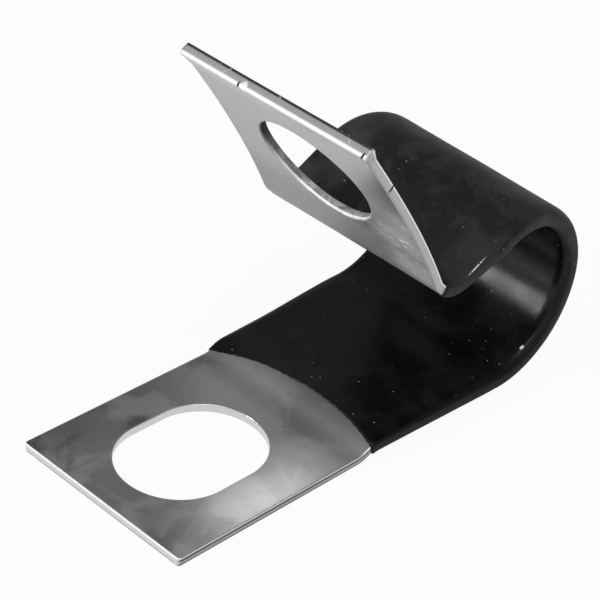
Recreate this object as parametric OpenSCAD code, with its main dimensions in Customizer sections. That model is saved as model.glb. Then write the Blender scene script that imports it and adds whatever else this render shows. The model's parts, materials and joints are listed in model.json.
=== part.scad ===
// P clip for one cable: a steel strap bent round a loop, with a vinyl coating over the loop.
// The clip is open: the lower tab lies flat and the upper tab stands clear of it.
// Origin: centre of the lower slot, on the underside of the lower tab. +X runs to the loop.

/* [Strap] */
// Width of the steel strap, side to side
band_w = 12.7; // [11.8:0.1:15]
// Thickness of the sheet steel
sheet_t = 0.55; // [0.45:0.05:0.7]
// Plan radius of the four tab corners
corner_r = 0.4; // [0.2:0.1:1.2]
// Rolled radius on the edge where each tab's end meets its mating face
roll_r = 0.15; // [0.05:0.05:0.25]

/* [Lower tab] */
// Distance from the slot's centre to the end of the lower tab
lower_end = 6.8; // [6:0.1:8]
// Length of the slot, end to end
slot_l = 9.5; // [8:0.1:10.5]
// Width of the slot
slot_w = 7.2; // [6.4:0.1:7.8]
// Distance from the slot's centre to the start of the step
step_x = 6.9; // [6.2:0.1:7.4]
// Length of the step that lifts the strap by the coating's thickness
step_l = 1.7; // [1.3:0.1:2]

/* [Loop] */
// Distance from the slot's centre to the loop's centre
loop_x = 18.7; // [17:0.1:24]
// Clear diameter inside the coated loop
loop_d = 9.8; // [9:0.1:12]
// Angle by which the upper arm drops towards the bend, degrees
arm_drop = 20; // [14:1:26]
// Length of the straight upper arm
arm_l = 3.7; // [3:0.1:5]

/* [Upper tab] */
// Radius of the bend, at the middle of the sheet
bend_r = 2; // [1.6:0.1:2.6]
// Angle of the upper tab above the horizontal at the bend, degrees
tab_lift = 62; // [52:1:70]
// Length of the upper tab along its curve
tab_l = 12.4; // [11.6:0.1:14]
// Angle that the upper tab curves through towards its mating face, degrees
tab_bow = 10.5; // [3:0.5:14]
// Diameter of the round hole
hole_d = 7.4; // [6.4:0.1:8.2]
// Distance from the round hole's centre to the end of the upper tab
hole_end = 6.5; // [5.6:0.1:7]
// Length over which cropping has spread the end of the upper tab
tip_l = 1.2; // [0.8:0.1:1.6]
// Width that the spread adds at the end of the upper tab
tip_spread = 0.7; // [0.2:0.1:0.8]
// Thickness that the spread adds at the end of the upper tab
tip_swell = 0.2; // [0.1:0.02:0.26]

/* [Coating] */
// Full thickness of the coating, reached at the loop
coat_t = 0.4; // [0.25:0.05:0.5]
// Thickness of the coating where it ends
coat_edge_t = 0.1; // [0.06:0.01:0.16]
// Radius on the coating's edges round the loop
coat_round = 0.35; // [0.15:0.05:0.4]
// Distance from the slot's centre to the crest of the coating's lower edge
coat_line_x = 9.35; // [9.1:0.05:11]
// Plan radius of the coating's curved lower edge
coat_line_r = 13.8; // [12.5:0.1:30]
// Angle of the bend that the coating covers, degrees
coat_wrap = 48; // [40:1:54]

/* [Hidden] */
$fn = 120;
// Stretches of strap and coating join end to end. Every second one is slimmer by this much
// and reaches this far into its neighbours, so that no two faces lie almost on each other.
slim = 0.002;
reach = 0.02;
// Cutters run this far past the metal
over = 1;
ht = sheet_t / 2;
hw = band_w / 2;
// Two equal arcs make the step: their radius and their angle
step_h = coat_t;
step_r = (step_l * step_l + step_h * step_h) / (4 * step_h);
step_a = asin(step_l / (2 * step_r));
step_end = step_x + step_l;
// Mid-plane height of the lower arm, and the loop's radius there
arm_z = ht + step_h;
loop_r = loop_d / 2 + coat_t + ht;
loop_z = arm_z + loop_r;
// Heading of the mid-line on the upper arm, at the start of the tab and at its end
head_arm = 180 + arm_drop;
head_tab = 180 - tab_lift;
head_end = head_tab + tab_bow;
// Where the loop ends
p1x = loop_x + loop_r * cos(head_arm - 90);
p1z = loop_z + loop_r * sin(head_arm - 90);
// The bend's centre, past the straight upper arm
bend_x = p1x + arm_l * cos(head_arm) + bend_r * sin(head_arm);
bend_z = p1z + arm_l * sin(head_arm) - bend_r * cos(head_arm);
// The centre of the upper tab's curve
bow_r = tab_l / (tab_bow * PI / 180);
bow_x = bend_x - (bend_r + bow_r) * sin(head_tab);
bow_z = bend_z + (bend_r + bow_r) * cos(head_tab);
// The end of the upper tab, and the round hole's angle on the curve
tip_x = bow_x + bow_r * sin(head_end);
tip_z = bow_z - bow_r * cos(head_end);
hole_a = head_end - 90 - hole_end / bow_r * 180 / PI;
tip_ht = ht + tip_swell / 2;
tip_hw = hw + tip_spread / 2;

// Angle that the reach takes at radius r
function reach_a(r) = reach * 180 / (PI * r);

// Rectangle with round corners, centred, or a sharp one when r is 0
module round_rect(w, h, r) {
  if (r > 0) {
    square([w - 2 * r, h], center = true);
    square([w, h - 2 * r], center = true);
    for (sx = [-1, 1], sy = [-1, 1])
      translate([sx * (w / 2 - r), sy * (h / 2 - r)])
        circle(r);
  } else {
    square([w, h], center = true);
  }
}

// Bar bent round an axis along Y, from angle a0 to angle a1, at radius r
module arc_bar(r, half_t, half_w, a0, a1, edge = 0) {
  rotate([90, 0, 0])
    rotate([0, 0, a0])
      rotate_extrude(angle = a1 - a0)
        translate([r, 0])
          round_rect(2 * half_t, 2 * half_w, edge);
}

// The same, slimmer and reaching past both ends
module slim_arc(r, half_t, half_w, a0, a1) {
  arc_bar(r, half_t - slim, half_w - slim, a0 - reach_a(r), a1 + reach_a(r));
}

// Straight bar along +X from x0 to x1, centred on z = 0
module flat_bar(x0, x1, half_t, half_w) {
  translate([x0, -half_w, -half_t])
    cube([x1 - x0, 2 * half_w, 2 * half_t]);
}

// The same, slimmer and reaching past both ends
module slim_bar(x0, x1, half_t, half_w) {
  flat_bar(x0 - reach, x1 + reach, half_t - slim, half_w - slim);
}

// The step: one arc up and one arc back to level
module step_bar(half_t, half_w) {
  translate([step_x, 0, ht + step_r])
    slim_arc(step_r, half_t, half_w, -90, -90 + step_a);
  translate([step_end, 0, arm_z - step_r])
    arc_bar(step_r, half_t, half_w, 90, 90 + step_a);
}

// What rounds one corner of a tab whose end is at x = 0 and whose body is at x < 0
module corner_cut(side, half_t, half_w) {
  difference() {
    translate([-corner_r, side > 0 ? half_w - corner_r : -half_w - over, -half_t - over])
      cube([corner_r + over, corner_r + over, 2 * (half_t + over)]);
    translate([-corner_r, side * (half_w - corner_r), 0])
      cylinder(r = corner_r + slim, h = 2 * half_t + 4 * over, center = true);
  }
}

// What rolls the upper edge of the same tab's end, the tab being centred on z = 0
module edge_cut(half_t, half_w) {
  difference() {
    translate([-roll_r, -half_w - over, half_t - roll_r])
      cube([roll_r + over, 2 * (half_w + over), roll_r + over]);
    translate([-roll_r, 0, half_t - roll_r])
      rotate([90, 0, 0])
        cylinder(r = roll_r + slim, h = 2 * half_w + 4 * over, center = true);
  }
}

// All that finishes the end of a tab
module end_cuts(half_t, half_w) {
  corner_cut(1, half_t, half_w);
  corner_cut(-1, half_t, half_w);
  edge_cut(half_t, half_w);
}

// The spread end of the upper tab, its end at x = 0: a wedge in side view and in plan
module tip_wedge() {
  intersection() {
    rotate([90, 0, 0])
      linear_extrude(2 * tip_hw, center = true)
        polygon([[-tip_l, -ht + slim], [0, -tip_ht], [0, tip_ht], [-tip_l, ht - slim]]);
    linear_extrude(2 * tip_ht, center = true)
      polygon([[-tip_l, -hw + slim], [0, -tip_hw], [0, tip_hw], [-tip_l, hw - slim]]);
  }
}

// Slot for the bolt, long way along X
module slot_cut() {
  d = (slot_l - slot_w) / 2;
  for (s = [-1, 1])
    translate([s * d, 0, -over])
      cylinder(d = slot_w, h = sheet_t + 2 * over);
  translate([-d, -slot_w / 2, -over])
    cube([2 * d, slot_w, sheet_t + 2 * over]);
}

module lower_tab() {
  difference() {
    translate([0, 0, ht])
      flat_bar(-lower_end, step_x, ht, hw);
    slot_cut();
    translate([-lower_end, 0, ht])
      mirror([1, 0, 0])
        end_cuts(ht, hw);
  }
}

module upper_tab() {
  difference() {
    union() {
      translate([bow_x, 0, bow_z])
        slim_arc(bow_r, ht, hw, head_tab - 90, head_end - 90 - 2 * reach_a(bow_r));
      translate([tip_x, 0, tip_z])
        rotate([0, -head_end, 0])
          tip_wedge();
    }
    translate([bow_x, 0, bow_z])
      rotate([0, -hole_a, 0])
        translate([bow_r, 0, 0])
          rotate([0, 90, 0])
            cylinder(d = hole_d, h = sheet_t + 2 * over, center = true);
    translate([tip_x, 0, tip_z])
      rotate([0, -head_end, 0])
        end_cuts(tip_ht, tip_hw);
  }
}

// The whole steel strap, one piece of sheet
module strap_body() {
  lower_tab();
  step_bar(ht, hw);
  translate([0, 0, arm_z])
    slim_bar(step_end, loop_x, ht, hw);
  translate([loop_x, 0, loop_z])
    arc_bar(loop_r, ht, hw, -90, head_arm - 90);
  translate([p1x, 0, p1z])
    rotate([0, -head_arm, 0])
      slim_bar(0, arm_l, ht, hw);
  translate([bend_x, 0, bend_z])
    arc_bar(bend_r, ht, hw, head_tab + 90, head_arm + 90);
  upper_tab();
}

// Coating along a straight arm from x = 0 to x = len, thickening from ca to cb
module taper_bar(len, ca, cb) {
  grow = (cb - ca) * reach / len;
  x0 = -reach;
  x1 = len + reach;
  c0 = ca - grow - slim;
  c1 = cb + grow - slim;
  full = coat_t - slim;
  room = band_w + 4 * over;
  intersection() {
    translate([x0, 0, 0])
      rotate([90, 0, 90])
        linear_extrude(x1 - x0)
          round_rect(band_w + 2 * full, sheet_t + 2 * full, coat_round);
    translate([0, room / 2, 0])
      rotate([90, 0, 0])
        linear_extrude(room)
          polygon([[x0, -ht - c0], [x1, -ht - c1], [x1, ht + c1], [x0, ht + c0]]);
    translate([0, 0, -room / 2])
      linear_extrude(room)
        polygon([[x0, -hw - c0], [x1, -hw - c1], [x1, hw + c1], [x0, hw + c0]]);
  }
}

// Outside of the coating, before the strap is taken out of it
module coating_body() {
  step_bar(ht + coat_edge_t, hw + coat_edge_t);
  translate([step_end, 0, arm_z])
    taper_bar(loop_x - step_end, coat_edge_t, coat_t);
  translate([loop_x, 0, loop_z])
    arc_bar(loop_r, ht + coat_t, hw + coat_t, -90, head_arm - 90, coat_round);
  translate([p1x, 0, p1z])
    rotate([0, -head_arm, 0])
      taper_bar(arm_l, coat_t, coat_edge_t);
  translate([bend_x, 0, bend_z])
    arc_bar(bend_r, ht + coat_edge_t, hw + coat_edge_t,
            head_arm + 90 - coat_wrap, head_arm + 90);
}

module strap() {
  color([0.66, 0.67, 0.68])
    strap_body();
}

module coating() {
  color([0.06, 0.06, 0.065])
    difference() {
      coating_body();
      strap_body();
      translate([coat_line_x - coat_line_r, 0, -over])
        cylinder(r = coat_line_r, h = arm_z + 2 * over);
    }
}

strap();
coating();
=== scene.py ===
# %% [markdown]
# # A cable clip, bent from one strip of steel
#
# The object is a P clip: a steel strip bent round a loop for one cable, with black vinyl dipped over
# the loop. Two pieces make it. Both are drawn flat first, as the factory does it, and then bent along
# the same middle line, so the coating always sits on the steel.

# %% Load the frame
import json
import math
import bpy
import numpy as np
from mathutils import Matrix, Vector


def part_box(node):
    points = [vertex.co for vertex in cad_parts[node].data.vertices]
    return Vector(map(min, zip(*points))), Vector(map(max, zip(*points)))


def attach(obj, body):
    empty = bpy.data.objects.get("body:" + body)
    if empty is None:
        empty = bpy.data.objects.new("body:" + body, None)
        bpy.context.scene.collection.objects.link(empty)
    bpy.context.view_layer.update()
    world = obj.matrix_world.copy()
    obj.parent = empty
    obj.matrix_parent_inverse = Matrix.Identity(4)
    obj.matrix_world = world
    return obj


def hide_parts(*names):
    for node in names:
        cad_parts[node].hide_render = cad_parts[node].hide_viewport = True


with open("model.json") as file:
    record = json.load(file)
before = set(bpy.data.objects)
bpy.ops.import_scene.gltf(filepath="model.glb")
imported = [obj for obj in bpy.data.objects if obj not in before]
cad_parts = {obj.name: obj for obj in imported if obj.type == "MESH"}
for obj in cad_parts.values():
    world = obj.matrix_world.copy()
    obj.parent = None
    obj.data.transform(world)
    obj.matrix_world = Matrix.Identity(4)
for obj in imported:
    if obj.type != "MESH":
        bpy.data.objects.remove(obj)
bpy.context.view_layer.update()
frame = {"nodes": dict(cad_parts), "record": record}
MM = 0.001
print("solids:", sorted(frame["nodes"]))

# %% [markdown]
# ## Sizes
#
# Widths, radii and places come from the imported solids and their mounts. What the frame can't say,
# such as the angle of an arm, is typed here once, in millimetres and degrees. Most of it is as the
# solids have it. The slot's size, the tabs' corners, the coat's edge line, its fuller far edge and
# its run down the near edge follow the clip as it was found, a few tenths of a millimetre off true.

# %% Sizes of the strip and the coating
lower_end = -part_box("strap")[0][0] / MM
coat_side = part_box("coating")[1][1] / MM
mounts = {m["name"]: m for m in frame["record"]["mounts"]}
sheet = mounts["upper_hole"]["dims"]["length_mm"]
hole_r = mounts["upper_hole"]["dims"]["r_mm"]

coat_full, coat_thin = 0.4, 0.1  # thickness of the coat round the loop and at its two ends
coat_wrap = 48  # degrees of the tight bend that the coat covers
sag, near_run = 0.22, 0.28  # the fuller far edge, and the run of vinyl down the near one
half_w = coat_side - coat_full
half_t = sheet / 2
loop_x = mounts["cable_loop"]["pos_m"][0] / MM
loop_r = mounts["cable_loop"]["dims"]["r_mm"] + coat_full + half_t

slot_l, slot_w = 9.4, 7.1
step_x, step_l = 6.9, 1.7  # where the step begins, and its length
arm_drop, arm_l = 20, 3.7  # slope of the upper arm, and its straight length
bend_r, tab_lift = 2, 62  # radius of the tight bend, and the tab's rise where it leaves it
tab_l, tab_bow = 12.4, 10.5  # length of the upper tab, and the angle that it curves through
hole_end, corner_r = 6.5, 0.22  # from the hole's centre to the tab's end, and the tabs' corners
tip_l, tip_spread, tip_swell = 1.2, 0.7, 0.2  # the spread end: its length, extra width and thickness
line_x, line_y, line_r = 9.05, -0.7, 16.2  # crest and radius of the coat's edge line
print("strip %.2f wide, %.2f thick; coating %.2f thick" % (2 * half_w, sheet, coat_full))

# %% [markdown]
# ## The middle line
#
# Seen from the side, the strip is a row of straight stretches and arcs, each running smoothly into
# the next: flat, up and back over the step, round the loop, down the arm, round the tight bend and up
# the tab. Each stretch is only a length and the angle it turns through. Walking along them gives the
# place and heading of any point, so a flat drawing can be bent in one go.

# %% Stretches of the middle line
step_r = (step_l ** 2 + coat_full ** 2) / (4 * coat_full)
step_turn = math.asin(step_l / (2 * step_r))
loop_turn = math.radians(180 + arm_drop)
bend_turn = math.radians(arm_drop + tab_lift)
stretches = np.array([
    (lower_end + step_x, 0),
    (step_r * step_turn, step_turn),
    (step_r * step_turn, -step_turn),
    (loop_x - step_x - step_l, 0),
    (loop_r * loop_turn, loop_turn),
    (arm_l, 0),
    (bend_r * bend_turn, -bend_turn),
    (tab_l, math.radians(tab_bow)),
])
starts = np.concatenate([[0], np.cumsum(stretches[:, 0])])
headings = np.concatenate([[0], np.cumsum(stretches[:, 1])])
print("the strip is %.1f mm long when flat" % starts[-1])


def arc_step(x, z, heading, length, turn):
    """Where a stretch leads: its chord is length * sin(turn/2) / (turn/2), halfway between headings."""
    chord = length * np.sinc(turn / (2 * math.pi))
    middle = heading + turn / 2
    return x + chord * np.cos(middle), z + chord * np.sin(middle)


corners = [(-lower_end, half_t)]
for (length, turn), heading in zip(stretches, headings):
    corners.append(arc_step(*corners[-1], heading, length, turn))
corners = np.array(corners)


def middle_line(s):
    """Place and heading at arc length s: the start of its stretch, then an arc of the part walked."""
    k = np.clip(np.searchsorted(starts, s, side="right") - 1, 0, len(stretches) - 1)
    walked = s - starts[k]
    turn = stretches[k, 1] * walked / stretches[k, 0]
    x, z = arc_step(corners[k, 0], corners[k, 1], headings[k], walked, turn)
    return x, z, headings[k] + turn


def smooth(value, low, high):
    """Runs from 0 at low to 1 at high, level at both ends: 3t^2 - 2t^3."""
    t = np.clip((value - low) / (high - low), 0, 1)
    return t * t * (3 - 2 * t)


near_push = np.array([0.45, -0.4, -0.4])
far_push = np.array([-0.2, 0.35, 0.2])
loop_lift = np.array([0.17, 0, 0.2])


def askew(s, y):
    """How far the press has pushed a point out of true. The near side of the bend goes down and
    outward, the far corner of the tab goes up and outward, and the far side of the loop's top is
    lifted; all fade over their stretch."""
    side = np.clip(0.5 + y / (2 * half_w), 0, 1)
    near = (1 - side) ** 3 * smooth(s, starts[4] + 12, starts[6] + 1) * smooth(-s, -starts[8], -starts[7])
    far = side ** 3 * smooth(s, starts[7], starts[8])
    lifted = side * smooth(s, starts[4] + 5, starts[4] + 12) * smooth(-s, -starts[6], -starts[5])
    return near[..., None] * near_push + far[..., None] * far_push + lifted[..., None] * loop_lift


def bent(flat):
    """Flat point (s, y, w) in space: the middle line's point at s, y across, w along the normal,
    and then pushed askew."""
    s, y, w = flat[..., 0], flat[..., 1], flat[..., 2]
    x, z, heading = middle_line(s)
    true = np.stack([x - w * np.sin(heading), y, z + w * np.cos(heading)], axis=-1)
    return (true + askew(s, y)) * MM


print("tip of the strip at x %.2f, z %.2f mm" % (corners[-1, 0], corners[-1, 1]))

# %% [markdown]
# ## From grids to a mesh
#
# Every surface below is a grid of flat points, worked out as whole arrays. The grids share the
# points along their common borders, so rounding the coordinates and keeping one of each welds them
# into a closed skin. Each point also carries two things that the finishes read later: its flat place,
# and a rim value, which is 0 on the faces, 1 on a cut edge and 2 on a tab's end.

# %% Grids, welding and mesh making
def grid_faces(rows, cols):
    """Four-sided faces of a grid of rows by cols points, numbered along the rows."""
    a = (np.arange(rows - 1)[:, None] * cols + np.arange(cols - 1)[None, :]).ravel()
    return np.stack([a, a + 1, a + cols + 1, a + cols], axis=-1)


weld_gap = 1e-4


def welded(patches):
    """Joins grids (flat points, rim values) into one list of points and faces. Points less than
    weld_gap apart become one."""
    points, rims, faces, used = [], [], [], 0
    for flat, rim in patches:
        rows, cols = flat.shape[:2]
        points.append(flat.reshape(-1, 3))
        rims.append(np.broadcast_to(rim, (rows, cols)).ravel())
        faces.append(grid_faces(rows, cols) + used)
        used += rows * cols
    points, rims, faces = np.concatenate(points), np.concatenate(rims), np.concatenate(faces)
    _, first, back = np.unique(np.round(points / weld_gap).astype(np.int64), axis=0,
                               return_index=True, return_inverse=True)
    return points[first], rims[first], back.ravel()[faces]


def make_piece(name, flat, rim, faces):
    """A mesh of the bent points, with its normals outward and its flat place and rim kept."""
    mesh = bpy.data.meshes.new(name)
    mesh.from_pydata(bent(flat).tolist(), [], faces.tolist())
    mesh.attributes.new("flat", "FLOAT_VECTOR", "POINT").data.foreach_set(
        "vector", (flat * MM).astype(np.float32).ravel())
    mesh.attributes.new("rim", "FLOAT", "POINT").data.foreach_set("value", rim.astype(np.float32))
    obj = bpy.data.objects.new(name, mesh)
    bpy.context.collection.objects.link(obj)
    bpy.context.view_layer.objects.active = obj
    bpy.ops.object.mode_set(mode="EDIT")
    bpy.ops.mesh.select_all(action="SELECT")
    bpy.ops.mesh.normals_make_consistent(inside=False)
    bpy.ops.object.mode_set(mode="OBJECT")
    mesh.shade_smooth()
    print("%s: %d points, %d faces" % (name, len(flat), len(faces)))
    return obj


# %% [markdown]
# ## The cut edges
#
# A press cuts the sheet. The edge it leaves isn't square: the punch drags the sheet down into a small
# roll at one face, shears a bright straight band, and tears the rest, which slopes back a little.
# The upper tab's end and opening have a larger roll. This profile is what catches the light along
# every edge, so it is real geometry: a list of insets from the outline and heights through the sheet.

# %% Profile of a cut edge
margin = 0.04  # a flat border between the edge and the grid of the face
band_end = -0.1 * half_t  # where the sheared band ends and the tear begins


def edge_profile(roll, burr=0.03, tear=0.03, steps=6):
    """Insets and heights down a cut edge: an arc of radius roll, a straight band, a sloping tear
    that goes in by tear, and a small arc of radius burr."""
    arc = np.linspace(0, math.pi / 2, steps)
    inset = [[roll + margin], roll - roll * np.sin(arc), [0], tear + burr - burr * np.cos(arc),
             [tear + burr + margin]]
    height = [[half_t], half_t - roll + roll * np.cos(arc), [band_end],
              -half_t + burr - burr * np.sin(arc), [-half_t]]
    return np.concatenate(inset), np.concatenate(height)


side_edge = edge_profile(roll=0.05)
lower_edges = edge_profile(roll=0.03), edge_profile(roll=0.05)
upper_edges = edge_profile(roll=0.17), edge_profile(roll=0.08)
print("an edge has %d points from face to face" % len(side_edge[0]))

# %% [markdown]
# ## The tabs
#
# A tab is a rectangle with two round corners and one opening. A ring of points goes round its
# outline, another round the opening along rays from the opening's centre, and the face is filled in
# between the two. The same ring, at each inset of the edge profile, makes the edges. The lower
# opening is a slot, the upper one a round hole, and a round hole is a slot with no straight part.

# %% Rings round a tab and its opening
pitch = 0.16  # about the distance between points
corner_steps, face_rows = 9, 19
across = np.linspace(1, -1, int(2 * half_w / pitch) + 1)


def outline(neck, side, end):
    """Ring round a tab, inset by side along the long edges and by end at its end; q is the distance
    from the end. It goes up one long edge, round the end with quarter ellipses, down the other."""
    along = np.linspace(neck, corner_r, int(neck / pitch))
    t = np.linspace(0, math.pi / 2, corner_steps)[1:-1]
    y0 = half_w - corner_r
    arc_q = corner_r - (corner_r - end) * np.sin(t)
    arc_y = y0 + (corner_r - side) * np.cos(t)
    q = [along, arc_q, np.full(across.shape, end), arc_q[::-1], along[::-1]]
    y = [np.full(along.shape, side - half_w), -arc_y, -y0 * across, arc_y[::-1],
         np.full(along.shape, half_w - side)]
    share = [np.zeros(along.shape), np.sin(t) ** 2, np.ones(across.shape), np.cos(t) ** 2,
             np.zeros(along.shape)]
    return np.concatenate(q), np.concatenate(y), np.concatenate(share)


def opening(angle, length, width, inset):
    """Distance from a slot's centre to its outline at an angle: a straight side if the ray meets
    it, otherwise the round end. The inset moves the outline outward."""
    r = width / 2 + inset
    d = (length - width) / 2
    c, s = np.abs(np.cos(angle)), np.maximum(np.abs(np.sin(angle)), 1e-9)
    return np.where(r * c / s <= d, r / s, d * c + np.sqrt(r ** 2 - (d * s) ** 2))


def tab_patches(neck, centre, length, width, to_s, end_edge, hole_edge):
    """Grids of one tab: outer edge, opening's edge, and both faces. to_s turns q into arc length;
    the last two are the profiles of the tab's end and of its opening."""
    def at(q, y, w):
        """Flat points at distances q from the end, places y across and heights w."""
        return np.stack(np.broadcast_arrays(to_s(q), y, w), axis=-1)

    rings = [outline(neck, a, b) for a, b in zip(side_edge[0], end_edge[0])]
    heights = [side_edge[1][k] + (end_edge[1][k] - side_edge[1][k]) * rings[k][2]
               for k in range(len(rings))]
    outer = np.stack([at(q, y, w) for (q, y, _), w in zip(rings, heights)])

    def closed(q, y, inset):
        """The ring with the neck's line added, so that it goes all the way round."""
        neck_y = (half_w - inset) * across[1:]
        return np.concatenate([q, np.full(neck_y.shape, neck)]), np.concatenate([y, neck_y])

    q0, y0 = closed(*rings[0][:2], side_edge[0][0])
    q1, y1 = closed(*rings[-1][:2], side_edge[0][-1])
    angle = np.arctan2(y0, q0 - centre)
    reach = [opening(angle, length, width, d) for d in hole_edge[0]]
    inner = np.stack([at(centre + r * np.cos(angle), r * np.sin(angle), w)
                      for r, w in zip(reach, hole_edge[1])])
    k = np.linspace(0, 1, face_rows)[:, None]
    faces = []
    for q, y, ring, w in ((q0, y0, reach[0], half_t), (q1, y1, reach[-1], -half_t)):
        hq, hy = centre + ring * np.cos(angle), ring * np.sin(angle)
        faces.append(at(hq + (q - hq) * k, hy + (y - hy) * k, w))
    rim = np.ones((len(side_edge[0]), 1))
    rim[[0, -1]] = 0
    return [(outer, rim * (1 + rings[0][2])), (inner, rim), (faces[0], 0), (faces[1], 0)]


def middle_patches(s):
    """Grids of the strip between the tabs: both faces and both long edges."""
    faces = []
    for k, w in ((0, half_t), (-1, -half_t)):
        y = (half_w - side_edge[0][k]) * across
        faces.append(np.stack(np.broadcast_arrays(s[:, None], y, w), axis=-1))
    edges = [np.stack(np.broadcast_arrays(s, sign * (half_w - side_edge[0][:, None]),
                                          side_edge[1][:, None]), axis=-1) for sign in (-1, 1)]
    rim = np.ones((len(side_edge[0]), 1))
    rim[[0, -1]] = 0
    return [(faces[0], 0), (faces[1], 0), (edges[0], rim), (edges[1], rim)]


# %% [markdown]
# ## The strip
#
# The lower tab's ring is measured from the start of the strip, the upper tab's from its end. What
# lies between them is one long grid whose points crowd together where the strip bends. The press
# that cropped the upper tab has spread its last millimetre, which is a little wider and thicker.

# %% Make the steel strip
def spread_tip(flat):
    """Widens and thickens the strip evenly from tip_l before its end up to its end."""
    share = np.clip((flat[:, 0] - starts[-1]) / tip_l + 1, 0, 1)
    flat[:, 1] *= 1 + share * tip_spread / (2 * half_w)
    flat[:, 2] *= 1 + share * tip_swell / sheet
    return flat


tab_from, tab_to = starts[1], starts[7]
longest, sharpest = 1.2, 2.5  # how long a face may be, and how many degrees it may turn
counts = np.maximum(np.ceil(stretches[1:7, 0] / longest),
                    np.ceil(np.degrees(abs(stretches[1:7, 1])) / sharpest))
between = np.concatenate([np.linspace(a, b, int(n), endpoint=False)
                          for a, b, n in zip(starts[1:7], starts[2:8], counts)] + [[tab_to]])
patches = tab_patches(tab_from, lower_end, slot_l, slot_w, lambda q: q, *lower_edges)
patches += tab_patches(tab_l, hole_end, 2 * hole_r, 2 * hole_r, lambda q: starts[-1] - q, *upper_edges)
patches += middle_patches(between)
points, rims, faces = welded(patches)
strip = make_piece("steel_strip", spread_tip(points), rims, faces)
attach(strip, "root")
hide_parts("strap")

# %% [markdown]
# ## The coating
#
# The loop was dipped in liquid vinyl. The coat is full at the loop and thins along both arms. It ends
# on the lower arm in a curved line with a soft lip, and under the bend in a straight one that has
# run on a little down the near edge. It is a closed sleeve: a ring round the strip's section, carried
# along the strip, with its inside on the steel. A slow ripple takes up to a tenth off its thickness,
# as dipping does, and the far edge, which hung lowest while it dried, is a little fuller.

# %% Thickness, edge line and section of the coating
coat_to = starts[6] + bend_r * math.radians(coat_wrap)
print("the coat ends %.1f mm from the tab's end" % (starts[-1] - coat_to))


def thickness(s):
    """Thin up to the step's end, growing evenly to full at the loop, and thinning along the arm."""
    return np.interp(s, [starts[3], starts[4], starts[5], starts[6]],
                     [coat_thin, coat_full, coat_full, coat_thin])


def edge_line(y):
    """Arc length of the lower edge at y: a circle in plan, with its crest toward the loop and a
    fine raggedness, made of sines."""
    x = line_x - line_r + np.sqrt(line_r ** 2 - (np.clip(y, -half_w, half_w) - line_y) ** 2)
    ragged = 0.018 * np.sin(9.1 * y + 1) + 0.014 * np.sin(17.3 * y) + 0.012 * np.sin(31.7 * y + 2)
    return lower_end + x + ragged


def ripple(s, y):
    """Slow uneven share from 0 to 1, from sines along and across."""
    waves = np.sin(0.9 * s + 0.5 * y) + np.sin(0.53 * s - 0.8 * y + 1.7) + np.sin(1.7 * s + 0.3 * y + 4)
    return 0.5 + waves / 6


side_steps, round_steps = 60, 10


def section(grow, long, deep):
    """Ring round the strip: a rectangle grown by grow on all sides. Its corners are quarter
    ellipses, long across the strip and deep through it. All three are columns, one value for each
    row; the ring's points are the columns of the result."""
    a, b = half_w + grow - long, half_t + grow - deep
    t = np.linspace(0, math.pi / 2, round_steps + 1)
    sweep = np.linspace(-1, 1, side_steps + 1)[1:-1]
    y, w = [], []
    for sy, sw, start in ((1, 1, 0), (-1, 1, 1), (-1, -1, 2), (1, -1, 3)):
        angle = t + start * math.pi / 2
        y.append(sy * a + long * np.cos(angle))
        w.append(sw * b + deep * np.sin(angle))
        if start in (0, 2):
            y.append(-sy * a * sweep)
            w.append(sw * (b + deep) + 0 * sweep)
    y, w = np.concatenate(y, axis=1), np.concatenate(w, axis=1)
    return np.c_[y, y[:, :1]], np.c_[w, w[:, :1]]


# %% Rows of the coating, from its edge line to its other end
lip_steps, outside_rows = 6, 230
lip = np.linspace(0, math.pi / 2, lip_steps)[:-1, None]
share = np.linspace(0, 1, outside_rows)[:, None]
thin = np.full((1, 1), coat_thin)
start_y = section(thin, thin, thin)[0]
begin = edge_line(start_y)
run_width = 0.15
finish_line = coat_to + near_run * smooth(-start_y, half_w - run_width, half_w)
lip_l = coat_thin
rows_s = [begin + lip_l * (1 - np.cos(lip)),
          begin + lip_l + (finish_line - begin - 2 * lip_l) * share,
          finish_line - lip_l * (1 - np.cos(lip[::-1]))]
rows_s = np.concatenate(rows_s)
print("%d rows, of which %d at each end round the lip" % (len(rows_s), len(lip)))

# %% Outside of the coating
least_round = 0.05  # radius of the corners where the coat is thinnest
long_share, deep_share = 2.2, 0.95  # how they grow with the coat, across the strip and through it
ripple_share = 0.1
full = thickness(rows_s)
shape = np.concatenate([np.sin(lip), np.ones(share.shape), np.sin(lip[::-1])])
grow = (full * shape).mean(axis=1, keepdims=True)
ring_y, ring_w = section(grow, least_round + long_share * grow, least_round + deep_share * grow)
ring_w *= 1 - ripple_share * ripple(rows_s, ring_y) * (full / (full + half_t)) * shape
ring_y += sag * smooth(ring_y, 0.9 * half_w, half_w) * smooth(rows_s, starts[3] + 2, starts[4]) * shape
outside = np.stack([rows_s, ring_y, ring_w], axis=-1)
print("the coat is up to %.2f mm wide" % (ring_y.max() - ring_y.min()))

# %% Inside of the coating, and the finished piece
inside_rows = 90
back_share = np.linspace(1, 0, inside_rows)[:, None]
sunk = 0.02  # the inside lies this deep in the steel, so that no gap shows
thread = np.full(back_share.shape, sunk)
inner_y, inner_w = section(-thread, thread, thread)
inside_s = begin + sunk + (finish_line - begin - 2 * sunk) * back_share
inside = np.stack([inside_s, inner_y, inner_w], axis=-1)
sleeve = np.concatenate([outside, inside, outside[:1]])
coat_points, coat_rims, coat_faces = welded([(sleeve, 0)])
coat = make_piece("vinyl_coat", coat_points, coat_rims, coat_faces)
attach(coat, "root")
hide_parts("coating")

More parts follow.
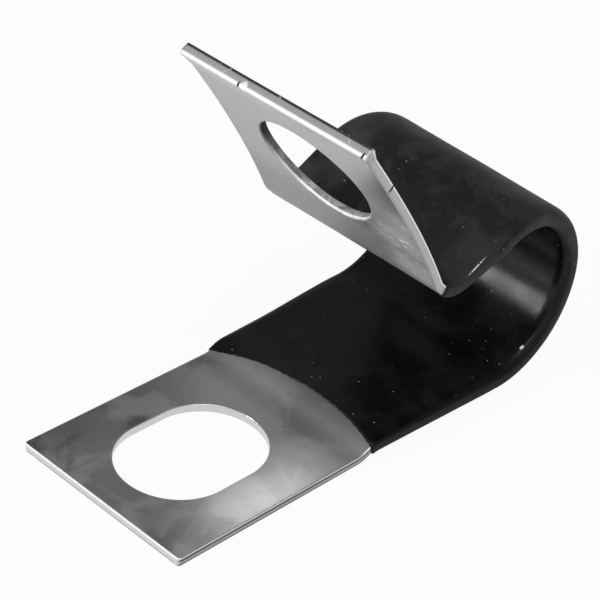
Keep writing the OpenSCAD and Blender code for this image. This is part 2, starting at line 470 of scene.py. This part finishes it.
# %% [markdown]
# ## Shared effects
#
# Handling leaves the same few traces on steel and on vinyl: cloudy smudges, fine scratches that run
# every way, and dust. Each is a node group that gives a mask from 0 to 1, so that both materials can
# place it with their own scale and strength. The masks read the flat place of each point, so they
# follow the strip round its bends without stretching.

# %% Helpers for node trees
def new_group(name, inputs, outputs):
    """A shader node group with named float or vector sockets, and its two end nodes."""
    group = bpy.data.node_groups.new(name, "ShaderNodeTree")
    for label, kind, value in inputs:
        socket = group.interface.new_socket(label, in_out="INPUT", socket_type=kind)
        if value is not None:
            socket.default_value = value
    for label in outputs:
        group.interface.new_socket(label, in_out="OUTPUT", socket_type="NodeSocketFloat")
    return group, group.nodes.new("NodeGroupInput"), group.nodes.new("NodeGroupOutput")


def add_node(tree, kind, links=(), **values):
    """Adds a node, sets its properties and links its inputs, which are named or numbered."""
    node = tree.nodes.new(kind)
    for key, value in values.items():
        setattr(node, key, value)
    for key, source in dict(links).items():
        if isinstance(source, bpy.types.NodeSocket):
            tree.links.new(source, node.inputs[key])
        else:
            node.inputs[key].default_value = source
    return node


def between_values(tree, source, low, high, to_low=0.0, to_high=1.0):
    """Maps low..high to to_low..to_high with soft ends."""
    node = add_node(tree, "ShaderNodeMapRange", {"Value": source, "From Min": low, "From Max": high,
                                                 "To Min": to_low, "To Max": to_high},
                    interpolation_type="SMOOTHSTEP")
    return node.outputs["Result"]


def reached(tree, place, low, high, to_low=0.0, to_high=1.0):
    """The same for a place along or across the strip, with low and high in millimetres."""
    return between_values(tree, place, low * MM, high * MM, to_low, to_high)


def arithmetic(tree, operation, a, b=0.0):
    """One step of arithmetic on two values."""
    return add_node(tree, "ShaderNodeMath", {0: a, 1: b}, operation=operation).outputs[0]


def times(tree, a, b):
    """Product of two masks."""
    return arithmetic(tree, "MULTIPLY", a, b)


def most(tree, a, b):
    """The larger of two masks."""
    return arithmetic(tree, "MAXIMUM", a, b)


def added(tree, value, shade, share):
    """A value plus a share of a mask: a share below 0 takes away."""
    return arithmetic(tree, "ADD", value, times(tree, shade, share))


# %% Smudges, scratches and dust
VECTOR, FLOAT = "NodeSocketVector", "NodeSocketFloat"

smudge, given, result = new_group(
    "smudge", [("Vector", VECTOR, None), ("Scale", FLOAT, 300.0), ("From", FLOAT, 0.45),
               ("To", FLOAT, 0.7)], ["Mask"])
cloud = add_node(smudge, "ShaderNodeTexNoise", {"Vector": given.outputs["Vector"],
                 "Scale": given.outputs["Scale"], "Detail": 5.0, "Roughness": 0.55, "Distortion": 0.7})
smudge.links.new(between_values(smudge, cloud.outputs["Fac"], given.outputs["From"],
                                given.outputs["To"]), result.inputs["Mask"])

scratch, given, result = new_group(
    "scratch", [("Vector", VECTOR, None), ("Scale", FLOAT, 400.0), ("Width", FLOAT, 0.01),
                ("Turn", FLOAT, 0.0)], ["Mask"])
turned = add_node(scratch, "ShaderNodeVectorRotate", {"Vector": given.outputs["Vector"],
                  "Angle": given.outputs["Turn"]}, rotation_type="Z_AXIS")
drawn = add_node(scratch, "ShaderNodeMapping", {"Vector": turned.outputs[0], "Scale": (0.12, 1, 1)})
line = add_node(scratch, "ShaderNodeTexNoise", {"Vector": drawn.outputs[0],
                "Scale": given.outputs["Scale"], "Detail": 1.0})
gate = add_node(scratch, "ShaderNodeTexNoise", {"Vector": turned.outputs[0],
                "Scale": times(scratch, given.outputs["Scale"], 0.8)})
off = arithmetic(scratch, "ABSOLUTE", arithmetic(scratch, "SUBTRACT", line.outputs["Fac"], 0.5))
thin_line = between_values(scratch, off, given.outputs["Width"], 0.0)
kept = between_values(scratch, gate.outputs["Fac"], 0.56, 0.64)
scratch.links.new(times(scratch, thin_line, kept), result.inputs["Mask"])

dust, given, result = new_group(
    "dust", [("Vector", VECTOR, None), ("Scale", FLOAT, 900.0), ("Size", FLOAT, 0.1),
             ("Share", FLOAT, 0.1)], ["Mask"])
cell = add_node(dust, "ShaderNodeTexVoronoi", {"Vector": given.outputs["Vector"],
                "Scale": given.outputs["Scale"], "Randomness": 1.0})
dot = between_values(dust, cell.outputs["Distance"], given.outputs["Size"],
                     times(dust, given.outputs["Size"], 0.5))
chance = add_node(dust, "ShaderNodeSeparateColor", {"Color": cell.outputs["Color"]})
chosen = arithmetic(dust, "LESS_THAN", chance.outputs["Red"], given.outputs["Share"])
dust.links.new(times(dust, times(dust, dot, chosen), chance.outputs["Green"]), result.inputs["Mask"])

mark, given, result = new_group(
    "mark", [("Vector", VECTOR, None), ("Place", VECTOR, (0, 0, 0)), ("Size", VECTOR, (1, 1, 1)),
             ("Turn", FLOAT, 0.0), ("Soft", FLOAT, 0.4)], ["Mask"])
away = add_node(mark, "ShaderNodeVectorMath", {0: given.outputs["Vector"], 1: given.outputs["Place"]},
                operation="SUBTRACT")
turned = add_node(mark, "ShaderNodeVectorRotate", {"Vector": away.outputs[0],
                  "Angle": given.outputs["Turn"]}, rotation_type="Z_AXIS")
scaled = add_node(mark, "ShaderNodeVectorMath", {0: turned.outputs[0], 1: given.outputs["Size"]},
                  operation="DIVIDE")
off = add_node(mark, "ShaderNodeVectorMath", {0: scaled.outputs[0]}, operation="LENGTH").outputs["Value"]
mark.links.new(between_values(mark, off, 1.0, arithmetic(mark, "SUBTRACT", 1.0, given.outputs["Soft"])),
               result.inputs["Mask"])
print("groups:", [g.name for g in (smudge, scratch, dust, mark)])


def mask(tree, group, vector, **values):
    """Places one of the groups in a material and gives back its mask."""
    node = add_node(tree, "ShaderNodeGroup", node_tree=group)
    tree.links.new(vector, node.inputs["Vector"])
    for key, value in values.items():
        node.inputs[key].default_value = value
    return node.outputs["Mask"]


def new_material(name, **sockets):
    """A material with one Principled shader, whose plain values are set on its own sockets."""
    material = bpy.data.materials.new(name)
    material.use_nodes = True
    shader = material.node_tree.nodes["Principled BSDF"]
    for key, value in sockets.items():
        shader.inputs[key.replace("_", " ")].default_value = value
    place = add_node(material.node_tree, "ShaderNodeAttribute", attribute_name="flat")
    return material, material.node_tree, shader, place.outputs["Vector"]


def blended(tree, factor, a, b):
    """Colour a where the factor is 0 and b where it is 1."""
    node = add_node(tree, "ShaderNodeMix", data_type="RGBA")
    for index, value in ((0, factor), (6, a), (7, b)):
        if isinstance(value, bpy.types.NodeSocket):
            tree.links.new(value, node.inputs[index])
        else:
            node.inputs[index].default_value = value
    return node.outputs[2]


def blended_value(tree, factor, a, b):
    """Value a where the factor is 0 and b where it is 1."""
    return add_node(tree, "ShaderNodeMix", {0: factor, 2: a, 3: b}).outputs[0]


# %% [markdown]
# ## Steel
#
# The strip is thinly plated sheet: smooth, a little dull, with the cloudy stains of handled metal on
# the lower tab and a scuffed patch low on the upper tab. The lower tab is painted darker toward its end
# and its far side, a painted shade, and by its near edge it carries a painted reflection of the bend's
# steel, a soft bright patch that is also duller.
# Toward the vinyl, on the step and in the bend, the face is duller. The cut edges show along the sides
# a bright line, a dark one and a grey band: the bright line is a painted highlight, and on the lower
# tab a painted shadow darkens the edge's foot, where it meets the table. The tabs' ends are bright,
# with a painted highlight on the roll at their top and a painted shadow at their foot. The slot's wall
# is clean and the hole's wall is mottled, with a painted highlight along its rim on the side toward
# the bend. Small press marks lie on the near edge and along the upper tab's end.

# %% Steel finish
def grey(level, tint=0.0):
    """A near-neutral colour, cooler as tint grows."""
    return (level * (1 - tint), level, level * (1 + tint), 1.0)


def spot(tree, flat, s, y, w, long, wide, deep, turn=0.0, soft=0.4):
    """Mask of an elongated spot at a flat place, all in millimetres."""
    return mask(tree, mark, flat, Place=(s * MM, y * MM, w * MM),
                Size=(long * MM, wide * MM, deep * MM), Turn=turn, Soft=soft)


tip = starts[-1]
print("the finishes are placed along %.1f mm of strip" % tip)
steel, tree, shader, flat = new_material("plated_steel")
rim = add_node(tree, "ShaderNodeAttribute", attribute_name="rim").outputs["Fac"]
edge = arithmetic(tree, "MINIMUM", rim, 1.0)
end = most(tree, arithmetic(tree, "SUBTRACT", rim, 1.0), 0.0)
axes = add_node(tree, "ShaderNodeSeparateXYZ", {0: flat})
depth = arithmetic(tree, "DIVIDE", axes.outputs["Z"], half_t * MM)

# %% Stains, scuffs and scratches on the faces
along, sideways = axes.outputs["X"], axes.outputs["Y"]
upper = reached(tree, along, starts[5], starts[6])
lower = arithmetic(tree, "SUBTRACT", 1.0, upper)
stepped = times(tree, reached(tree, along, starts[1] - 1.6, starts[1] + 0.5), lower)
stains = times(tree, mask(tree, smudge, flat, Scale=300.0, From=0.44, To=0.56), reached(tree, along, 13, 7))
dark_stains = times(tree, mask(tree, smudge, flat, Scale=190.0, From=0.5, To=0.62), lower)
# Painted reflection: a soft bright patch by the near edge stands in for the bend's steel reflected there; it
# is also made duller.
painted_bend_reflection = spot(tree, flat, lower_end + 0.3, -5.8, half_t, 9, 5, 0.5, soft=1.0)
scuffed = spot(tree, flat, tip - 10, -5.6, half_t, 8.5, 4.8, 0.5, soft=0.8)
combed = add_node(tree, "ShaderNodeMapping", {"Vector": flat, "Scale": (1.0, 0.5, 1.0)}).outputs[0]
scuffs = times(tree, scuffed, mask(tree, smudge, combed, Scale=520.0, From=0.4, To=0.62))
flecks = times(tree, scuffed, mask(tree, smudge, combed, Scale=2400.0, From=0.58, To=0.68))
lines = most(tree, mask(tree, scratch, flat, Scale=700.0, Width=0.012, Turn=0.5),
             mask(tree, scratch, flat, Scale=520.0, Width=0.01, Turn=2.1))
# Painted shade: the lower tab is painted darker across its far side.
far_side_shade = times(tree, reached(tree, sideways, 2.5, 6.6), lower)

# Painted shade: the lower tab's tone also darkens toward its end.
lower_tone_shaded = reached(tree, along, lower_end + 1, lower_end + 6, 0.25, 0.37)
upper_tone = 0.3
tone = blended_value(tree, upper, lower_tone_shaded, upper_tone)
for shade, share in ((far_side_shade, -0.08), (stains, 0.09), (dark_stains, -0.1), (painted_bend_reflection, 0.55),
                     (scuffs, 0.14), (flecks, 0.3), (lines, 0.06)):
    tone = added(tree, tone, shade, share)
tone = times(tree, tone, added(tree, 1.0, stepped, -0.4))
print("%d nodes after the faces" % len(tree.nodes))

# %% Lines along the cut edges
# Painted highlight: the lower tab's side edges are lighter on the roll at their top, and the upper tab's near
# its back face. Painted shadow: the lower tab's side edges darken at their foot, where the tab meets the
# table.
painted_top_highlight = times(tree, between_values(tree, depth, 0.65, 0.8), lower)
below_top = times(tree, between_values(tree, depth, 0.7, 0.55), between_values(tree, depth, 0.1, 0.25))
below_top = times(tree, below_top, lower)
painted_foot_shadow = times(tree, between_values(tree, depth, -0.4, -0.7), lower)
painted_back_highlight = times(tree, between_values(tree, depth, -0.6, -0.8), upper)
facing = times(tree, between_values(tree, depth, 0.4, 0.7), upper)
side_tone = added(tree, 0.3, upper, 0.19)
for shade, share in ((painted_top_highlight, 0.45), (painted_back_highlight, 0.5), (below_top, -0.25), (painted_foot_shadow, -0.24),
                     (facing, -0.08)):
    side_tone = added(tree, side_tone, shade, share)
# The ends are bright, and brighter on the roll at their top, a painted highlight; their foot is painted dark,
# a painted shadow, which on the lower tab lies where it meets the table.
end_tone = blended_value(tree, upper, between_values(tree, depth, 0.4, 0.6, 0.66, 0.9),
                         between_values(tree, depth, 0.4, 0.6, 0.47, 0.8))
end_tone = times(tree, end_tone, between_values(tree, depth, -0.65, -0.85, 1.0, 0.15))
edge_tone = blended_value(tree, end, side_tone, end_tone)
print("%d nodes after the cut edges" % len(tree.nodes))

# %% Walls of the openings
slot_wall = spot(tree, flat, lower_end, 0, 0, slot_l / 2 + 0.3, slot_w / 2 + 0.5, 9, soft=0.02)
hole_wall = spot(tree, flat, tip - hole_end, 0, 0, hole_r + 0.3, hole_r + 0.3, 9, soft=0.02)
mottled = mask(tree, smudge, flat, Scale=1100.0, From=0.4, To=0.62)
away = reached(tree, along, tip - hole_end + 1, tip - hole_end - 3)
# Painted highlight: a white line along the hole's rim on the side toward the bend.
painted_rim_highlight = times(tree, between_values(tree, depth, 0.3, 0.5), between_values(tree, depth, 0.95, 0.75))
wall_tone = added(tree, 0.05, times(tree, arithmetic(tree, "ADD", mottled, 0.6), away), 0.2)
wall_tone = added(tree, wall_tone, times(tree, away, painted_rim_highlight), 0.7)
wall_tone = added(tree, wall_tone, between_values(tree, depth, 0.7, 0.9), 0.22)
slot_tone = 0.62
edge_tone = blended_value(tree, slot_wall, edge_tone, slot_tone)
edge_tone = blended_value(tree, hole_wall, edge_tone, wall_tone)
tone = blended_value(tree, edge, tone, edge_tone)
print("%d nodes after the walls" % len(tree.nodes))

# %% Press marks
nick = spot(tree, flat, tip - 3.7, -half_w, -0.08, 0.1, 0.35, 0.36, turn=0.3)
notch = spot(tree, flat, tip - 0.1, -6.3, half_t, 0.45, 0.08, 0.3, turn=0.5)
chip = spot(tree, flat, tip, 2.5, half_t, 0.3, 0.08, 0.25)
bright_dot = spot(tree, flat, tip, 2.15, half_t - 0.1, 0.35, 0.25, 0.35)
end_marks = times(tree, end, mask(tree, scratch, flat, Scale=900.0, Width=0.03, Turn=0.2))
pressed = most(tree, most(tree, nick, notch), chip)
tone = blended_value(tree, most(tree, bright_dot, times(tree, end_marks, 0.5)), tone, 1.0)
tone = blended_value(tree, pressed, tone, 0.01)
tree.links.new(add_node(tree, "ShaderNodeCombineColor", {0: tone, 1: tone, 2: tone}).outputs[0],
               shader.inputs["Base Color"])
print("%d nodes after the marks" % len(tree.nodes))

# %% Gloss and relief of the steel
face = arithmetic(tree, "SUBTRACT", 1.0, edge)
dull = times(tree, reached(tree, along, 0, starts[1], 0.25, 0.35), lower)
by_bend = times(tree, reached(tree, along, tip - 8, tip - 11), upper)
for shade, share in ((painted_bend_reflection, 0.6), (scuffed, 0.65), (by_bend, 0.45), (stepped, 0.75)):
    dull = most(tree, dull, times(tree, shade, share))
dull = times(tree, dull, face)
upper_side = times(tree, times(tree, edge, upper), arithmetic(tree, "SUBTRACT", 1.0, end))
dull = most(tree, dull, times(tree, upper_side, 0.45))
dull = most(tree, dull, times(tree, times(tree, hole_wall, edge), 0.6))
metal, polish = 0.9, 0.24  # how metallic and how rough the steel is where nothing dulls it
tree.links.new(arithmetic(tree, "SUBTRACT", metal, dull), shader.inputs["Metallic"])
rough = added(tree, polish, dull, 0.45)
rough = added(tree, rough, end, 0.32)
tree.links.new(added(tree, rough, stains, 0.05), shader.inputs["Roughness"])
height = arithmetic(tree, "ADD", lines, pressed)
bump = add_node(tree, "ShaderNodeBump", {"Height": height, "Strength": 0.15, "Distance": 0.00002},
                invert=True)
tree.links.new(bump.outputs["Normal"], shader.inputs["Normal"])
strip.data.materials.append(steel)
print("steel has %d nodes" % len(tree.nodes))

# %% [markdown]
# ## Vinyl
#
# Dipped vinyl is deep black and half glossy, and it holds dust. The base is nearly black with a pale
# bloom in places. Specks and short hairs of dust lie on it, rough where the vinyl is smooth. Two
# materials dress the coat: its outside, which hands have dulled, and the inside of the loop, which is
# glossier and blacker. The near edge carries two painted glints, a short one inside the loop and a
# longer, broken one on the arm's outer corner. A slow bump gives the skin the slight orange-peel of a
# dipped coat.

# %% Vinyl finish
def dipped_vinyl(name, level, gloss, black, pale, lower_black=None):
    """The coating's material on one side: how strongly it reflects, how rough it is, its black, the
    pale bloom on it, and the black on the lower arm where it differs."""
    vinyl, tree, shader, flat = new_material(name, Specular_IOR_Level=level)
    bloom = mask(tree, smudge, flat, Scale=210.0, From=0.42, To=0.68)
    haze = mask(tree, smudge, flat, Scale=700.0, From=0.46, To=0.7)
    grains = mask(tree, dust, flat, Scale=3000.0, Size=0.2, Share=0.4 * level)
    big_grains = mask(tree, dust, flat, Scale=1300.0, Size=0.08, Share=0.2 * level)
    hairs = mask(tree, scratch, flat, Scale=1500.0, Width=0.01, Turn=0.9)
    dirt = most(tree, most(tree, times(tree, grains, 0.8), big_grains), times(tree, hairs, 0.03))
    skin = half_t + coat_full
    # Painted glints: two pale marks on the near edge stand in for light catching it.
    long_painted_glint = spot(tree, flat, starts[5] + 2.6, -half_w, 0.27 - skin, 1.15, 0.045, 0.14, soft=0.7)
    short_painted_glint = spot(tree, flat, starts[4] + 2.85, -half_w + 0.1, skin, 0.26, 0.12, 0.2, soft=0.6)
    broken = mask(tree, smudge, flat, Scale=5200.0, From=0.42, To=0.5)
    painted_glints = most(tree, times(tree, long_painted_glint, broken), short_painted_glint)
    along = add_node(tree, "ShaderNodeSeparateXYZ", {0: flat}).outputs["X"]
    round_loop = reached(tree, along, starts[4], starts[4] + 12)
    base = blended(tree, bloom, grey(black), grey(pale, 0.03))
    base = blended(tree, times(tree, haze, 0.35), base, grey(1.6 * pale, 0.03))
    if lower_black is not None:
        base = blended(tree, round_loop, grey(lower_black), base)
    base = blended(tree, times(tree, dirt, 0.7), base, grey(0.6))
    base = blended(tree, painted_glints, base, grey(0.9))
    tree.links.new(base, shader.inputs["Base Color"])
    rough = added(tree, gloss, dirt, 0.4)
    tree.links.new(added(tree, rough, bloom, 0.08), shader.inputs["Roughness"])
    peel = add_node(tree, "ShaderNodeTexNoise", {"Vector": flat, "Scale": 900.0, "Detail": 2.0})
    height = added(tree, dirt, peel.outputs["Fac"], 0.6)
    bump = add_node(tree, "ShaderNodeBump", {"Height": height, "Strength": 0.12, "Distance": 0.00003})
    tree.links.new(bump.outputs["Normal"], shader.inputs["Normal"])
    return vinyl


handled = dipped_vinyl("vinyl_handled", level=0.1, gloss=0.5, black=0.014, pale=0.036,
                       lower_black=0.006)
sheltered = dipped_vinyl("vinyl_inside", level=0.25, gloss=0.2, black=0.004, pale=0.01)
coat.data.materials.append(handled)
coat.data.materials.append(sheltered)
centre = coat_points[coat_faces].mean(axis=1)
inward = (centre[:, 2] > half_t) & (np.abs(centre[:, 1]) < half_w)
coat.data.polygons.foreach_set("material_index", inward.astype(np.int32))
print("%d of %d faces look inward" % (inward.sum(), len(inward)))

# %% [markdown]
# ## The studio
#
# The clip lies on a plain white table under soft light. The table is white to the camera and to
# reflections, and still takes the clip's shadow. Round it the studio is pale at the horizon and dim
# overhead, which keeps the black vinyl black. A narrow soft box stands low behind the tabs and
# shines into the loop, and a broad one hangs high on the tabs' side and lights the steel.

# %% Table
table_mesh = bpy.data.meshes.new("table")
reach = 3.0
table_mesh.from_pydata([(-reach, -reach, 0), (reach, -reach, 0), (reach, reach, 0), (-reach, reach, 0)],
                       [], [(0, 1, 2, 3)])
table = bpy.data.objects.new("table", table_mesh)
clearance = 0.00002  # the table lies this far under the clip, so that the two don't flicker
table.location.z = -clearance
bpy.context.collection.objects.link(table)
paper = bpy.data.materials.new("white_table")
paper.use_nodes = True
tree = paper.node_tree
shader = tree.nodes["Principled BSDF"]
shader.inputs["Base Color"].default_value = (0.8, 0.8, 0.8, 1)
shader.inputs["Roughness"].default_value = 0.9
white = add_node(tree, "ShaderNodeEmission", {"Color": (1, 1, 1, 1), "Strength": 1.0})
ray = add_node(tree, "ShaderNodeLightPath")
seen = most(tree, ray.outputs["Is Camera Ray"], ray.outputs["Is Glossy Ray"])
seen = most(tree, seen, ray.outputs["Is Transmission Ray"])
glow = 0.94  # the share of plain white; the rest is lit paper, which takes the shadow
mixed = add_node(tree, "ShaderNodeMixShader", {0: times(tree, seen, glow), 1: shader.outputs[0],
                                               2: white.outputs[0]})
tree.links.new(mixed.outputs[0], tree.nodes["Material Output"].inputs["Surface"])
table_mesh.materials.append(paper)
print("the table is %.0f m wide" % (2 * reach))

# %% World
world = bpy.data.worlds.new("studio")
bpy.context.scene.world = world
world.use_nodes = True
tree = world.node_tree
way = add_node(tree, "ShaderNodeTexCoord").outputs["Generated"]
rise = add_node(tree, "ShaderNodeSeparateXYZ", {0: way}).outputs["Z"]
overhead = between_values(tree, rise, 0.0, 0.4)
horizon, zenith = 0.9, 0.22
tree.links.new(blended(tree, overhead, grey(horizon), grey(zenith)), tree.nodes["Background"].inputs["Color"])
print("the studio is %.2f at the horizon and %.2f overhead" % (horizon, zenith))


# %% Lamps
def soft_box(name, azimuth, elevation, distance, width, height, power):
    """A rectangular lamp at an azimuth (0 is +X, 90 is +Y) and elevation, facing the clip."""
    data = bpy.data.lights.new(name, "AREA")
    data.shape = "RECTANGLE"
    data.size, data.size_y, data.energy = width, height, power
    lamp = bpy.data.objects.new(name, data)
    a, e = math.radians(azimuth), math.radians(elevation)
    way = Vector((math.cos(a) * math.cos(e), math.sin(a) * math.cos(e), math.sin(e)))
    lamp.location = way * distance
    lamp.rotation_mode = "QUATERNION"
    lamp.rotation_quaternion = way.to_track_quat("Z", "Y")
    bpy.context.collection.objects.link(lamp)
    print("%s: %.1f W" % (name, power))
    return lamp


soft_box("window", azimuth=147, elevation=20, distance=0.5, width=0.1, height=0.25, power=1.0)
soft_box("overhead", azimuth=230, elevation=70, distance=0.8, width=0.6, height=0.6, power=3.5)

# %% [markdown]
# ## Camera
#
# A long lens looks down on the clip from its tabs' side. Its place and its three angles were found
# from the clip's own edges, so they are given here as they are.

# %% Camera and colour
camera_at = Vector((-70.09, -67.63, 76.95)) * MM
azimuth, elevation, roll = math.radians(-48.995), math.radians(33.955), math.radians(6.601)
back = Vector((math.sin(azimuth) * math.cos(elevation), -math.cos(azimuth) * math.cos(elevation),
               math.sin(elevation)))
level = Vector((math.cos(azimuth), math.sin(azimuth), 0))
upright = back.cross(level)
right = level * math.cos(roll) + upright * math.sin(roll)
up = upright * math.cos(roll) - level * math.sin(roll)
lens = bpy.data.cameras.new("camera")
lens.sensor_width, lens.lens = 36, 132.56
lens.clip_start, lens.clip_end = 0.005, 20
camera = bpy.data.objects.new("camera", lens)
camera.matrix_world = Matrix((right, up, back)).transposed().to_4x4()
camera.location = camera_at
bpy.context.collection.objects.link(camera)
bpy.context.scene.camera = camera
bpy.context.scene.view_settings.view_transform = "Standard"
print("camera %.0f mm away" % (camera_at.length / MM))
